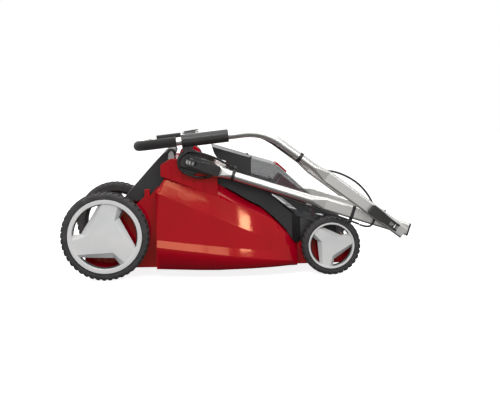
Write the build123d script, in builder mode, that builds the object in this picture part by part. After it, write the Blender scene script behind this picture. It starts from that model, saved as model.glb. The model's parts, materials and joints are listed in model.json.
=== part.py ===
from build123d import *
import math
import os

os.makedirs("parts", exist_ok=True)

# A cordless rotary lawn mower, folded for storage. Millimetres, +X forwards, +Z up.
# The origin is on the ground in the middle of the folded mower, and every x below is
# measured forwards from the rear wheels, every "out" sideways from the middle plane.
middle_x = 371.2

# wheels
rear_radius = 125.0
rear_out = 240.0
rear_width = 48.0
front_x = 641.0
front_radius = 85.0
front_out = 196.0
front_width = 42.0
axle_r = 6.0
axle_slip = 0.05

# height adjustment: each axle is a cranked rod, and these are the rods' own bearings
crank_x = 40.0
crank_drop = 8.0
rear_plate_out = 172.0
nose_out = 146.0

# deck
wall = 4.0
deck_rear_x = 143.0
deck_front_x = 545.0
roof_z = 120.0
blade_x = 330.0
blade_z = 38.0
blade_length = 420.0

# handle
pivot_x = 241.0
pivot_z = 329.0
hinge_x = 812.0
hinge_z = 145.0
lower_out = 208.5
lower_round = 25.0
upper_out = 236.0
upper_round = 23.0
flat_thick = 12.0
flat_wide = 36.0
bolt_r = 4.0
bolt_slip = 0.05
tower_out = 198.0
tower_in = 186.0
disc_thick = 4.0
disc_r = 37.0
knee_x = 448.0
knee_z = 415.2
loop_x = 97.0
loop_z = 376.0
loop_bend = 32.0
grip_r = 14.0

# covers
cover_out = 170.0
lid_out = 150.0
lid_wall = 2.6
lid_pin = (416.0, 337.2)
knuckle_r = 3.0
knuckle_gap = 0.3
lid_pin_r = 1.5

cable_r = 3.0

lower_slope = math.degrees(math.atan2(hinge_z - pivot_z, hinge_x - pivot_x))
lower_length = math.hypot(hinge_z - pivot_z, hinge_x - pivot_x)
upper_slope = math.degrees(math.atan2(knee_z - hinge_z, knee_x - hinge_x))
grip_slope = math.degrees(math.atan2(knee_z - loop_z, knee_x - loop_x))


def spot(x, out, z):
    return (x - middle_x, -out, z)


# seen from the mower's right side, standing "out" from the middle plane
def side(out):
    return Plane(spot(0, out, 0), x_dir=(1, 0, 0), z_dir=(0, -1, 0))


# the outer face of a part on one side: hand is 1 on the right and -1 on the left
def face(hand, x, out, z):
    return Plane(spot(x, hand * out, z), x_dir=(hand, 0, 0), z_dir=(0, -hand, 0))


# looking backwards at a cross-section
def across(x):
    return Plane(spot(x, 0, 0), x_dir=(0, 1, 0), z_dir=(1, 0, 0))


def ground(z):
    return Plane(spot(0, 0, z))


# a half-section through a wheel: across is "out", and the wheel's axis is the x line
def wheel_section(hand, x, z):
    return Plane(spot(x, 0, z), x_dir=(0, -hand, 0), z_dir=(1, 0, 0))


# square to a straight tube, "along" from its start
def tube_cut(start, slope, along, out):
    run = math.radians(slope)
    x = start[0] + along * math.cos(run)
    z = start[1] + along * math.sin(run)
    return Plane(spot(x, out, z), x_dir=(0, 1, 0), z_dir=(math.cos(run), 0, math.sin(run)))


def polar(radius, angle):
    return (radius * math.cos(math.radians(angle)), radius * math.sin(math.radians(angle)))


# a straight bar with round ends between two points of the present sketch
def bar(start, end, wide):
    length = math.dist(start, end)
    turn = math.degrees(math.atan2(end[1] - start[1], end[0] - start[0]))
    with Locations(((start[0] + end[0]) / 2, (start[1] + end[1]) / 2)):
        SlotCenterToCenter(length, wide, rotation=turn)


# a rod lying across the mower, from "start_out" outwards
def cylinder_out(hand, place, start_out, length, radius):
    with BuildPart() as rod:
        with BuildSketch(side(hand * start_out)):
            with Locations(place):
                Circle(radius)
        extrude(amount=hand * length)
    return rod.part


def save(piece, name):
    piece.label = name
    export_step(piece, f"parts/{name}.step")


# ---------------------------------------------------------------- wheels

# one of a wheel's three windows, between two angles of the rim and an inner corner
def window(rim_r, low, high, corner_r, corner_angle):
    with BuildLine(Plane.XY) as outline:
        Line(polar(rim_r, low), polar(corner_r, corner_angle))
        Line(polar(corner_r, corner_angle), polar(rim_r, high))
        ThreePointArc(polar(rim_r, high), polar(rim_r, (low + high) / 2), polar(rim_r, low))
    make_face(outline.edges())


def make_wheel(name, hand, x, radius, out, width, rim_r, ring_in, mouth, throat):
    axis = Axis(spot(x, 0, radius), (0, 1, 0))
    face_out = out - 3.5
    back_out = face_out - 14
    web_out = back_out - 0.3
    hub_in = out - width + 1
    bore = axle_r + axle_slip

    with BuildPart() as opening:
        with BuildSketch(face(hand, x, face_out + 0.01, radius)):
            window(ring_in - 0.6, *mouth)
        with BuildSketch(face(hand, x, back_out - 0.01, radius)):
            window(ring_in - 0.6, *throat)
        loft()

    with BuildPart() as core_opening:
        with BuildSketch(face(hand, x, web_out - 8, radius)):
            window(ring_in - 4, throat[0] - 1, throat[1] + 1, throat[2] - 2, throat[3])
        extrude(amount=10)

    with BuildPart() as wheel_cover:
        with BuildSketch(face(hand, x, back_out, radius)):
            Circle(rim_r - 2)
        extrude(amount=face_out - back_out)
        with BuildSketch(face(hand, x, face_out, radius)):
            Circle(rim_r - 2)
            Circle(ring_in, mode=Mode.SUBTRACT)
        extrude(amount=2.5)
        ring_edges = wheel_cover.edges().filter_by(GeomType.CIRCLE).sort_by(Axis.Y)
        fillet(ring_edges[:2] if hand == 1 else ring_edges[-2:], 1)
        for turn in (0, 120, 240):
            add(opening.part.rotate(axis, turn), mode=Mode.SUBTRACT)
        with BuildSketch(face(hand, x, back_out, radius)):
            Circle(17)
        extrude(amount=7, mode=Mode.SUBTRACT)
    save(wheel_cover.part, f"{name}_wheel_cover")

    with BuildPart() as wheel_core:
        with BuildSketch(wheel_section(hand, x, radius)):
            with Locations(((hub_in + web_out) / 2, rim_r - 4)):
                Rectangle(web_out - hub_in, 8)
            with Locations((web_out - 3, (rim_r + bore) / 2)):
                Rectangle(6, rim_r - bore - 2)
            with Locations(((hub_in + web_out) / 2, (16 + bore) / 2)):
                Rectangle(web_out - hub_in, 16 - bore)
        revolve(axis=axis)
        for turn in (0, 120, 240):
            add(core_opening.part.rotate(axis, turn), mode=Mode.SUBTRACT)
        with BuildSketch(face(hand, x, hub_in, radius)):
            Circle(bore)
        extrude(amount=width, mode=Mode.SUBTRACT)
    save(wheel_core.part, f"{name}_wheel_core")

    with BuildPart() as tyre:
        with BuildSketch(wheel_section(hand, x, radius)):
            with Locations((out - width / 2, (radius + rim_r) / 2)):
                RectangleRounded(width, radius - rim_r, 7)
        revolve(axis=axis)
    save(tyre.part, f"{name}_tyre")


for hand, hand_name in ((1, "right"), (-1, "left")):
    make_wheel(f"rear_{hand_name}", hand, 0, rear_radius, rear_out, rear_width, 106, 92,
               (-27, 66, 50, 57), (-20, 57, 67, 53))
    make_wheel(f"front_{hand_name}", hand, front_x, front_radius, front_out, front_width, 68, 61,
               (25, 126, 29, 38), (35, 117, 41, 43))


# ---------------------------------------------------------------- deck

# heights of the deck's straight creases at its rear and front ends, from the skirt up,
# and how far each one stands in from the widest line
creases = ((90, 42, 0), (110, 66, 7), (233, 85, 12), (274, 97, 21), (305, 130, 25))
stations = (143, 318, 349, 408, 440, 480, 514, 545)
half_widths = (214, 230, 230, 226, 221, 211, 197, 174)
top_edge = (303, 268, 249, 214, 198, 164, 129, 92)
bottom_edge = (28, 25, 26, 27, 28, 29, 30, 28)
shoulder = 172.0


def deck_outline(number, inner):
    x = stations[number]
    along = (x - deck_rear_x) / (deck_front_x - deck_rear_x)
    wide = half_widths[number]
    top = top_edge[number]
    rim = min(shoulder, wide - 24)
    half = [(wide - 3 - inner, 18 - inner)]
    for rank, (rear_z, front_z, inset) in enumerate(creases):
        z = min(rear_z + (front_z - rear_z) * along, top - 6 * (len(creases) - rank))
        half.append((wide - inset * min(1, (wide - rim) / 40) - inner, z - inner / 2))
    half.append((rim - inner, top - inner / 2))
    if inner:
        half.append((rim - inner, top + 40))
    return [(-y, z) for y, z in half] + [(y, z) for y, z in reversed(half)]


def inner_x(number):
    ends = {0: wall, len(stations) - 1: -wall}
    return stations[number] + ends.get(number, 0)


with BuildPart() as hollow:
    for number in range(len(stations)):
        with BuildSketch(across(inner_x(number))):
            Polygon(*deck_outline(number, wall), align=None)
    loft(ruled=True)
    with BuildSketch(ground(roof_z - wall)):
        with Locations((370, 0)):
            Rectangle(360, 600)
    extrude(amount=wall, mode=Mode.SUBTRACT)

with BuildPart() as deck_housing:
    for number in range(len(stations)):
        with BuildSketch(across(stations[number])):
            Polygon(*deck_outline(number, 0), align=None)
    loft(ruled=True)
    add(hollow.part, mode=Mode.SUBTRACT)
    # the lower and upper edges, cut clean
    with BuildSketch(side(0)):
        Polygon((100, 0), (100, 28), *zip(stations, bottom_edge), (560, 28), (560, 0), align=None)
        Polygon(*zip(stations[1:], (z - 3 for z in top_edge[1:])), (560, 89), (560, 300), (318, 300),
                align=None)
    extrude(amount=300, both=True, mode=Mode.SUBTRACT)
    # the slanted rear end of the shoulder
    with BuildSketch(side(0)):
        Polygon((137, 235), (180, 303), (180, 330), (120, 330), (120, 235), align=None)
    extrude(amount=300, both=True, mode=Mode.SUBTRACT)
    # the way through to the grass duct
    with BuildSketch(across(deck_rear_x - 5)):
        with Locations((0, 150)):
            Rectangle(336, 310)
    extrude(amount=20, mode=Mode.SUBTRACT)
    for hand in (1, -1):
        # the flat wall behind each rear wheel, with the axle's bearing
        with BuildSketch(side(hand * (rear_plate_out - wall))):
            Polygon((-62, 32), (-62, 61), (0, 72), (22, 96), (30, 150), (52, 196), (88, 211), (110, 232),
                    (110, 252), (125, 252), (126, 234), (158, 268), (158, 28), (81, 28), align=None)
            with Locations((crank_x, rear_radius - crank_drop)):
                Circle(axle_r + axle_slip, mode=Mode.SUBTRACT)
        extrude(amount=hand * wall)
        # the tower that carries the handle
        with BuildSketch(side(hand * tower_in)):
            Polygon((157, 232), (157, 322), (186, 339), (212, 338), (241, 329), (290, 302), (318, 287),
                    (318, 236), (240, 236), align=None)
            with Locations((pivot_x, pivot_z)):
                Circle(34)
                Circle(bolt_r + bolt_slip, mode=Mode.SUBTRACT)
        extrude(amount=hand * (tower_out - tower_in))
        with BuildSketch(side(hand * tower_out)):
            for rib_x in (187, 219, 250, 279):
                with Locations((rib_x, 285)):
                    Rectangle(3, 66)
            with Locations((pivot_x, pivot_z)):
                Circle(disc_r + 2, mode=Mode.SUBTRACT)
        extrude(amount=hand * 1.6)
        # the cable's way into the tower, on the right only
        if hand == 1:
            with BuildSketch(side(tower_in - 1)):
                with Locations((301, 288)):
                    Circle(cable_r + 0.8)
            extrude(amount=20, mode=Mode.SUBTRACT)
        # the nose between the front wheels, with the other axle's bearing
        with BuildSketch(side(hand * (nose_out - wall))):
            Polygon((543, 28), (543, 92), (558, 94), (679, 111), (700, 92), (703, 45), (692, 30), align=None)
            with Locations((front_x + crank_x, front_radius - crank_drop)):
                Circle(axle_r + axle_slip, mode=Mode.SUBTRACT)
        extrude(amount=hand * wall)
    # the nose's top and front
    with BuildSketch(side(0)):
        Polygon((541, 88), (541, 92), (558, 94), (679, 111), (700, 92), (703, 45), (692, 30), (688, 31),
                (699, 46), (696, 90), (677, 107), (558, 90), align=None)
    extrude(amount=nose_out - wall / 2, both=True)
    # the duct's floor and front wall, the rear skirt and the bridge between the towers
    with BuildSketch(side(0)):
        Polygon((112, 40), (56, 216), (60, 217), (116, 41), align=None)
        Polygon((188, roof_z - wall), (188, 336), (192, 336), (192, roof_z - wall), align=None)
        Polygon((-62, 32), (-62, 61), (-58, 62), (-58, 32), align=None)
        Polygon((-60, 57), (-60, 61), (102, 76), (103, 72), align=None)
    extrude(amount=rear_plate_out - wall / 2, both=True)
    with BuildSketch(side(0)):
        Polygon((188, 332), (188, 336), (200, 336), (318, 296), (318, 292), (199, 332), align=None)
    extrude(amount=tower_in + 2, both=True)
    # room for the handle bolts' nuts, and the hole that the blade's spindle turns in
    for hand in (1, -1):
        with BuildSketch(side(hand * (tower_in - 14))):
            with Locations((pivot_x, pivot_z)):
                Circle(13)
        extrude(amount=hand * 14, mode=Mode.SUBTRACT)
    with BuildSketch(ground(roof_z - 10)):
        with Locations((blade_x, 0)):
            Circle(10)
    extrude(amount=20, mode=Mode.SUBTRACT)
save(deck_housing.part, "deck_housing")
print("deck solids", len(deck_housing.part.solids()), "volume", deck_housing.part.volume)


# ---------------------------------------------------------------- motor and blade

with BuildPart() as motor_plate:
    with BuildSketch(ground(roof_z)):
        with Locations((blade_x, 0)):
            Circle(82)
            Circle(9.5, mode=Mode.SUBTRACT)
            with PolarLocations(72, 6):
                Circle(3.2, mode=Mode.SUBTRACT)
    extrude(amount=5)
save(motor_plate.part, "motor_plate")

with BuildPart() as motor_can:
    with BuildSketch(ground(roof_z + 5)):
        with Locations((blade_x, 0)):
            Circle(62)
    extrude(amount=88)
    chamfer(motor_can.edges().filter_by(GeomType.CIRCLE).sort_by(Axis.Z)[-1:], 6)
    with BuildSketch(ground(roof_z + 5)):
        with Locations((blade_x, 0)):
            Circle(9.5)
    extrude(amount=80, mode=Mode.SUBTRACT)
    with BuildSketch(ground(roof_z + 5)):
        with Locations((blade_x, 0)):
            with PolarLocations(62, 24):
                Rectangle(2.4, 3)
    extrude(amount=70, mode=Mode.SUBTRACT)
save(motor_can.part, "motor_can")

with BuildPart() as controller_box:
    with BuildSketch(ground(roof_z)):
        with Locations((455, 0)):
            RectangleRounded(70, 150, 6)
    extrude(amount=28)
save(controller_box.part, "controller_box")

with BuildPart() as motor_shaft:
    with BuildSketch(ground(blade_z + 3)):
        with Locations((blade_x, 0)):
            Circle(8)
    extrude(amount=roof_z + 60 - blade_z)
    with BuildSketch(ground(blade_z + 3)):
        with Locations((blade_x, 0)):
            Circle(32)
    extrude(amount=8)
    with BuildSketch(ground(blade_z + 11)):
        with Locations((blade_x, 0)):
            Circle(20)
    extrude(amount=14, taper=12)
save(motor_shaft.part, "blade_spindle")

# the hole through the roof that the spindle turns in
blade_tip = blade_length / 2
with BuildPart() as blade:
    with BuildSketch(ground(blade_z)):
        with Locations((blade_x, 0)):
            Rectangle(blade_length, 50)
            Circle(6, mode=Mode.SUBTRACT)
        for end in (1, -1):
            with Locations((blade_x + end * (blade_tip - 20), -end * 25)):
                Rectangle(50, 12, mode=Mode.SUBTRACT)
    extrude(amount=3)
    # the trailing edge of each end turns up and lifts the grass
    for end in (1, -1):
        with BuildSketch(across(blade_x + end * (blade_tip - 38))):
            Polygon((end * 10, blade_z), (end * 25, blade_z), (end * 25, blade_z + 18),
                    (end * 22, blade_z + 18), align=None)
        extrude(amount=end * 36)
save(blade.part, "blade")

with BuildPart() as blade_bolt:
    with BuildSketch(ground(blade_z - 12)):
        with Locations((blade_x, 0)):
            RegularPolygon(9, 6)
    extrude(amount=8)
    with BuildSketch(ground(blade_z - 4)):
        with Locations((blade_x, 0)):
            Circle(15)
    extrude(amount=4)
    with BuildSketch(ground(blade_z)):
        with Locations((blade_x, 0)):
            Circle(6)
    extrude(amount=3)
save(blade_bolt.part, "blade_bolt")

# ---------------------------------------------------------------- covers

# the side view of the black motor cover below the lid

with BuildPart() as motor_cover:
    with BuildSketch(side(0)):
        Polygon((319, 262), (319, 291), (350, 291), (416, 281), (466, 236), (500, 202), (530, 178),
                (530, 90), (514, 131), (480, 166), (440, 200), (408, 216), (349, 251), align=None)
    extrude(amount=cover_out, both=True)
    with BuildSketch(side(0)):
        Polygon((321, 180), (321, 288), (350, 288), (415, 278), (464, 234), (498, 200), (527, 176),
                (527, 94), (480, 94), (400, 150), align=None)
    extrude(amount=cover_out - 3, both=True, mode=Mode.SUBTRACT)
    # the tapering front
    with BuildSketch(ground(92.5)):
        Polygon((530, -cover_out), (556, -nose_out), (660, -nose_out), (682, -120), (682, 120),
                (660, nose_out), (556, nose_out), (530, cover_out), align=None)
    extrude(amount=90)
    with BuildSketch(side(0)):
        Polygon((520, 186), (530, 178), (537, 175), (541, 167), (591, 154), (655, 138), (677, 111.4),
                (700, 111.4), (700, 200), (520, 200), align=None)
        Polygon((520, 80), (546, 80), (546, 92.4), (558, 94.3), (680, 111.4), (700, 111.4), (700, 80),
                align=None)
    extrude(amount=200, both=True, mode=Mode.SUBTRACT)
    with BuildSketch(ground(95)):
        Polygon((527, -cover_out + 4), (557, -nose_out + 3), (650, -nose_out + 3), (650, nose_out - 3),
                (557, nose_out - 3), (527, cover_out - 4), align=None)
    extrude(amount=38, mode=Mode.SUBTRACT)
    add(deck_housing.part, mode=Mode.SUBTRACT)
save(motor_cover.part, "motor_cover")
print("cover solids", len(motor_cover.part.solids()))

# the fixed rear half of the battery housing, open in front
with BuildPart() as battery_hood:
    with BuildSketch(side(0)):
        Polygon((304, 370), (310, 350), (320, 335), (348, 327), (351.6, 290.8), (415.4, 281.1), (415.4, 336.8),
                align=None)
    extrude(amount=lid_out, both=True)
    with BuildSketch(side(0)):
        Polygon((310, 364), (314, 352), (323, 339), (351, 330), (355.6, 293.8), (420, 284), (420, 331.4),
                align=None)
    extrude(amount=lid_out - 3, both=True, mode=Mode.SUBTRACT)
    # two knuckles and a pin for the lid's hinge on each side
    for hand in (1, -1):
        add(cylinder_out(hand, lid_pin, 102, 16, knuckle_r + knuckle_gap), mode=Mode.SUBTRACT)
        for start_out in (92, 118):
            add(cylinder_out(hand, lid_pin, start_out, 10, knuckle_r))
        add(cylinder_out(hand, lid_pin, 100, 20, lid_pin_r))
save(battery_hood.part, "battery_hood")

lid_points = ((416, 336.6), (475, 319), (493, 314), (556, 257), (593, 224), (637, 182), (651, 166), (651, 145),
              (591, 156), (541, 169.3), (537, 179), (501, 206), (467, 240), (416, 285))
with BuildPart() as lid:
    with BuildSketch(side(0)):
        Polygon(*lid_points, align=None)
    extrude(amount=lid_out, both=True)
    with BuildSketch(side(0)):
        Polygon((400, 337.6), (416, 333.4), (474, 316.2), (491.5, 311.2), (554, 255), (591, 222), (634, 181),
                (648, 165), (648, 130), (400, 130), align=None)
    extrude(amount=lid_out - lid_wall, both=True, mode=Mode.SUBTRACT)
    for hand in (1, -1):
        for start_out in (92, 118):
            add(cylinder_out(hand, lid_pin, start_out - knuckle_gap, 10 + 2 * knuckle_gap, knuckle_r + knuckle_gap),
                mode=Mode.SUBTRACT)
        add(cylinder_out(hand, lid_pin, 102 + knuckle_gap, 16 - 2 * knuckle_gap, knuckle_r))
        add(cylinder_out(hand, lid_pin, 101, 18, lid_pin_r + 0.05), mode=Mode.SUBTRACT)
save(lid.part, "lid")

with BuildPart() as lid_catch:
    with BuildSketch(side(0)):
        Polygon((492, 314.8), (497, 318), (526, 292), (524, 286.5), align=None)
    extrude(amount=45, both=True)
    add(lid.part, mode=Mode.SUBTRACT)
save(lid_catch.part, "lid_catch")

with BuildPart() as front_latch:
    with BuildSketch(side(0)):
        Polygon((651, 166), (656, 168), (662, 150), (662, 138.3), (656, 138.3), (651.1, 150), align=None)
    extrude(amount=22, both=True)
save(front_latch.part, "front_latch")

# two battery packs lie on a sloping tray
pack_slope = -39.0
pack_origin = (478, 240)
for pack, pack_out in (("right", 62), ("left", -62)):
    start = tube_cut(pack_origin, pack_slope, 0, pack_out)
    with BuildPart() as battery:
        with BuildSketch(start):
            with Locations((0, 30)):
                RectangleRounded(78, 44, 8)
        extrude(amount=104)
        chamfer(battery.faces().sort_by(Axis.X)[-1].edges(), 3)
    save(battery.part, f"battery_{pack}")

with BuildPart() as battery_tray:
    with BuildSketch(tube_cut(pack_origin, pack_slope, -8, 0)):
        with Locations((0, 4)):
            Rectangle(230, 7)
        for rail_out in (-115, 0, 115):
            with Locations((rail_out, 14)):
                Rectangle(6, 20)
    extrude(amount=118)
save(battery_tray.part, "battery_tray")

key_z = 151.4
with BuildPart() as safety_key:
    with BuildSketch(ground(key_z)):
        with Locations((606, 0)):
            SlotOverall(30, 9, rotation=90)
    extrude(amount=22)
    with BuildSketch(ground(key_z + 22)):
        with Locations((606, 0)):
            SlotOverall(20, 6, rotation=90)
    extrude(amount=5)
save(safety_key.part, "safety_key")

with BuildPart() as cover_screws:
    with BuildSketch(ground(291)):
        with Locations((334, 160), (334, -160), (334, 60), (334, -60)):
            Circle(4)
            RegularPolygon(1.8, 6, mode=Mode.SUBTRACT)
    extrude(amount=2.5)
save(cover_screws.part, "cover_screws")

# ---------------------------------------------------------------- axles

def make_axle(name, wheel_x, wheel_z, arm_in, arm_out, stub_out):
    pin = (wheel_x + crank_x, wheel_z - crank_drop)
    with BuildPart() as axle:
        with BuildSketch(side(-arm_out)):
            with Locations(pin):
                Circle(axle_r)
        extrude(amount=2 * arm_out)
        for hand in (1, -1):
            with BuildSketch(side(hand * arm_in)):
                bar((wheel_x, wheel_z), pin, 22)
            extrude(amount=hand * (arm_out - arm_in))
            with BuildSketch(side(hand * arm_in)):
                with Locations((wheel_x, wheel_z)):
                    Circle(axle_r)
            extrude(amount=hand * (stub_out - arm_in))
    save(axle.part, name)


make_axle("rear_axle", 0, rear_radius, 176, 184, 221)
make_axle("front_axle", front_x, front_radius, 147, 152, 177)

lever_pin = (crank_x, rear_radius - crank_drop)
lever_tip = (lever_pin[0] + 58, lever_pin[1] + 88)
with BuildPart() as height_lever:
    with BuildSketch(side(-173)):
        bar(lever_pin, lever_tip, 16)
        with Locations(lever_pin):
            Circle(14)
            Circle(axle_r, mode=Mode.SUBTRACT)
    extrude(amount=-2.7)
save(height_lever.part, "height_lever")

with BuildPart() as height_knob:
    with BuildSketch(side(-175.7)):
        with Locations(lever_tip):
            Circle(11)
    extrude(amount=-11)
    fillet(height_knob.edges().filter_by(GeomType.CIRCLE), 3)
save(height_knob.part, "height_knob")

# ---------------------------------------------------------------- handle

def flat_profile():
    RectangleRounded(flat_thick, flat_wide, flat_thick / 2 - 0.1)


def round_profile(diameter):
    RectangleRounded(diameter, diameter, diameter / 2 - 0.1)


pivot = (pivot_x, pivot_z)
hinge = (hinge_x, hinge_z)


def make_lower_tube(hand, name):
    out = hand * lower_out
    with BuildPart() as lower_tube:
        for start, end in ((-25, 80), (400, 647)):
            with BuildSketch(tube_cut(pivot, lower_slope, start, out)):
                flat_profile()
            extrude(amount=end - start)
        with BuildSketch(tube_cut(pivot, lower_slope, 115, out)):
            round_profile(lower_round)
        extrude(amount=360 - 115)
        for flat_at, round_at in ((80, 115), (400, 360)):
            with BuildSketch(tube_cut(pivot, lower_slope, flat_at, out)):
                flat_profile()
            with BuildSketch(tube_cut(pivot, lower_slope, round_at, out)):
                round_profile(lower_round)
            loft()
        with BuildSketch(tube_cut(pivot, lower_slope, 120, out)):
            Circle(lower_round / 2 - 1.6)
        extrude(amount=235, mode=Mode.SUBTRACT)
        with BuildSketch(side(-300)):
            with Locations(pivot):
                Circle(bolt_r)
            with Locations(hinge):
                Circle(bolt_r + bolt_slip)
        extrude(amount=600, mode=Mode.SUBTRACT)
    save(lower_tube.part, name)


make_lower_tube(1, "lower_tube_right")
make_lower_tube(-1, "lower_tube_left")

with BuildPart() as end_caps:
    for hand in (1, -1):
        with BuildSketch(tube_cut(pivot, lower_slope, 647, hand * lower_out)):
            RectangleRounded(flat_thick + 1.4, flat_wide + 1.4, 6)
        extrude(amount=5)
save(end_caps.part, "lower_end_caps")

# the upper handle: one tube bent into a loop, with both ends pressed flat
round_start = 277.0
flat_end = 235.0
tail = -36.0


def loop_spot(along, hand):
    run = math.radians(upper_slope)
    return spot(hinge_x + along * math.cos(run), hand * upper_out, hinge_z + along * math.sin(run))


def loop_path():
    FilletPolyline(loop_spot(round_start, 1), spot(knee_x, upper_out, knee_z), spot(loop_x, upper_out, loop_z),
                   spot(loop_x, -upper_out, loop_z), spot(knee_x, -upper_out, knee_z),
                   loop_spot(round_start, -1), radius=[150, loop_bend, loop_bend, 150])


with BuildPart() as upper_tube:
    with BuildLine() as loop_line:
        loop_path()
    with BuildSketch(tube_cut(hinge, upper_slope, round_start, upper_out)):
        Circle(upper_round / 2)
    sweep(path=loop_line.wire())
    for hand in (1, -1):
        with BuildSketch(tube_cut(hinge, upper_slope, tail, hand * upper_out)):
            flat_profile()
        extrude(amount=flat_end - tail)
        with BuildSketch(tube_cut(hinge, upper_slope, flat_end, hand * upper_out)):
            flat_profile()
        with BuildSketch(tube_cut(hinge, upper_slope, round_start + 1, hand * upper_out)):
            round_profile(upper_round - 0.4)
        loft()
    with BuildSketch(side(-300)):
        with Locations(hinge):
            Circle(bolt_r)
    extrude(amount=600, mode=Mode.SUBTRACT)
    with BuildLine() as bore_line:
        FilletPolyline(loop_spot(round_start + 8, 1), spot(knee_x, upper_out, knee_z),
                       spot(loop_x, upper_out, loop_z), spot(loop_x, -upper_out, loop_z),
                       spot(knee_x, -upper_out, knee_z), loop_spot(round_start + 8, -1),
                       radius=[150, loop_bend, loop_bend, 150])
    with BuildSketch(tube_cut(hinge, upper_slope, round_start + 8, upper_out)):
        Circle(upper_round / 2 - 1.5)
    sweep(path=bore_line.wire(), mode=Mode.SUBTRACT)
save(upper_tube.part, "upper_tube")
print("upper tube solids", len(upper_tube.part.solids()), upper_tube.part.volume)


def grip_z(x):
    return loop_z + (x - loop_x) * math.tan(math.radians(grip_slope))


loop_start = (loop_x, loop_z)
grip_cos = math.cos(math.radians(grip_slope))


def grip_cut(x, out):
    return tube_cut(loop_start, grip_slope, (x - loop_x) / grip_cos, out)


with BuildPart() as foam_right:
    with BuildLine() as foam_line:
        FilletPolyline(spot(204, upper_out, grip_z(204)), spot(loop_x, upper_out, loop_z),
                       spot(loop_x, upper_out - 52, loop_z), radius=loop_bend)
    with BuildSketch(grip_cut(204, upper_out)):
        Circle(grip_r)
        Circle(upper_round / 2 + 0.02, mode=Mode.SUBTRACT)
    sweep(path=foam_line.wire())
save(foam_right.part, "foam_grip_right")

with BuildPart() as foam_left:
    with BuildSketch(grip_cut(132, -upper_out)):
        Circle(grip_r)
        Circle(upper_round / 2 + 0.02, mode=Mode.SUBTRACT)
    extrude(amount=(210 - 132) / grip_cos)
save(foam_left.part, "foam_grip_left")

bail_pin = (234.0, 386.0)
bail_r = 3.0
boss_out = upper_out - 24


def tube_bore(hand, start_x, end_x):
    with BuildPart() as rod:
        with BuildSketch(grip_cut(start_x, hand * upper_out)):
            Circle(upper_round / 2 + 0.02)
        extrude(amount=(end_x - start_x) / grip_cos)
    return rod.part


right_boss, left_boss = (cylinder_out(hand, bail_pin, boss_out, 14, 7) for hand in (1, -1))
right_socket, left_socket = (cylinder_out(hand, bail_pin, boss_out, 9, bail_r + bolt_slip) for hand in (1, -1))
right_bore = tube_bore(1, 210, 356)
left_bore = tube_bore(-1, 200, 280)

button_x = 292.0
with BuildPart() as switch_housing:
    with BuildSketch(grip_cut(218, upper_out)):
        RectangleRounded(35, 36, 15)
    extrude(amount=130 / grip_cos)
    fillet(switch_housing.faces().sort_by(Axis.X)[0].edges(), 2)
    with BuildSketch(side(upper_out - 8)):
        Polygon((220, 385), (221, 364), (226, 360), (246, 360), (249, 366), (254, 388), align=None)
    extrude(amount=16)
    add(right_boss)
    add(right_socket, mode=Mode.SUBTRACT)
    add(right_bore, mode=Mode.SUBTRACT)
    with BuildSketch(face(1, button_x, upper_out - 30, grip_z(button_x))):
        RectangleRounded(26.6, 14.6, 4)
    extrude(amount=17.6, mode=Mode.SUBTRACT)
save(switch_housing.part, "switch_housing")

with BuildPart() as start_button:
    with BuildSketch(face(1, button_x, upper_out - 23, grip_z(button_x))):
        RectangleRounded(26, 14, 4)
    extrude(amount=7)
    fillet(start_button.faces().sort_by(Axis.Y)[-1].edges(), 1.2)
save(start_button.part, "start_button")

with BuildPart() as bail_bearing:
    with BuildSketch(grip_cut(222, -upper_out)):
        RectangleRounded(31, 31, 12)
    extrude(amount=35 / grip_cos)
    add(left_boss)
    add(left_socket, mode=Mode.SUBTRACT)
    with BuildSketch(side(-upper_out + 8)):
        Polygon((214, 403), (222, 407), (262, 413), (266, 410), (240, 404), align=None)
    extrude(amount=-16)
    add(left_bore, mode=Mode.SUBTRACT)
save(bail_bearing.part, "bail_bearing")

with BuildPart() as bail:
    with BuildLine() as bail_line:
        FilletPolyline(spot(234, boss_out + 7, 386), spot(234, boss_out - 8, 386),
                       spot(122, boss_out - 8, 373.5), spot(122, -boss_out + 8, 373.5),
                       spot(234, -boss_out + 8, 386), spot(234, -boss_out - 7, 386), radius=[6, 18, 18, 6])
    with BuildSketch(side(boss_out + 7)):
        with Locations(bail_pin):
            Circle(bail_r)
    sweep(path=bail_line.wire())
save(bail.part, "bail")
print("bail", len(bail.part.solids()), bail.part.volume)

# ---------------------------------------------------------------- handle clamps

washer = 3.3
cam_r = 10.5
cam_gap = 0.3
barrel_r = 4.6
lower_face = lower_out + flat_thick / 2
upper_face = upper_out + flat_thick / 2
lower_pin_out = lower_face + washer + cam_r + cam_gap
upper_pin_out = upper_face + washer + cam_r + cam_gap


def lever_plane(hand, place, slope, out):
    run = math.radians(slope)
    normal = (hand * math.sin(run), 0, -hand * math.cos(run))
    return Plane(spot(place[0], hand * out, place[1]), x_dir=(math.cos(run), 0, math.sin(run)), z_dir=normal)


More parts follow.
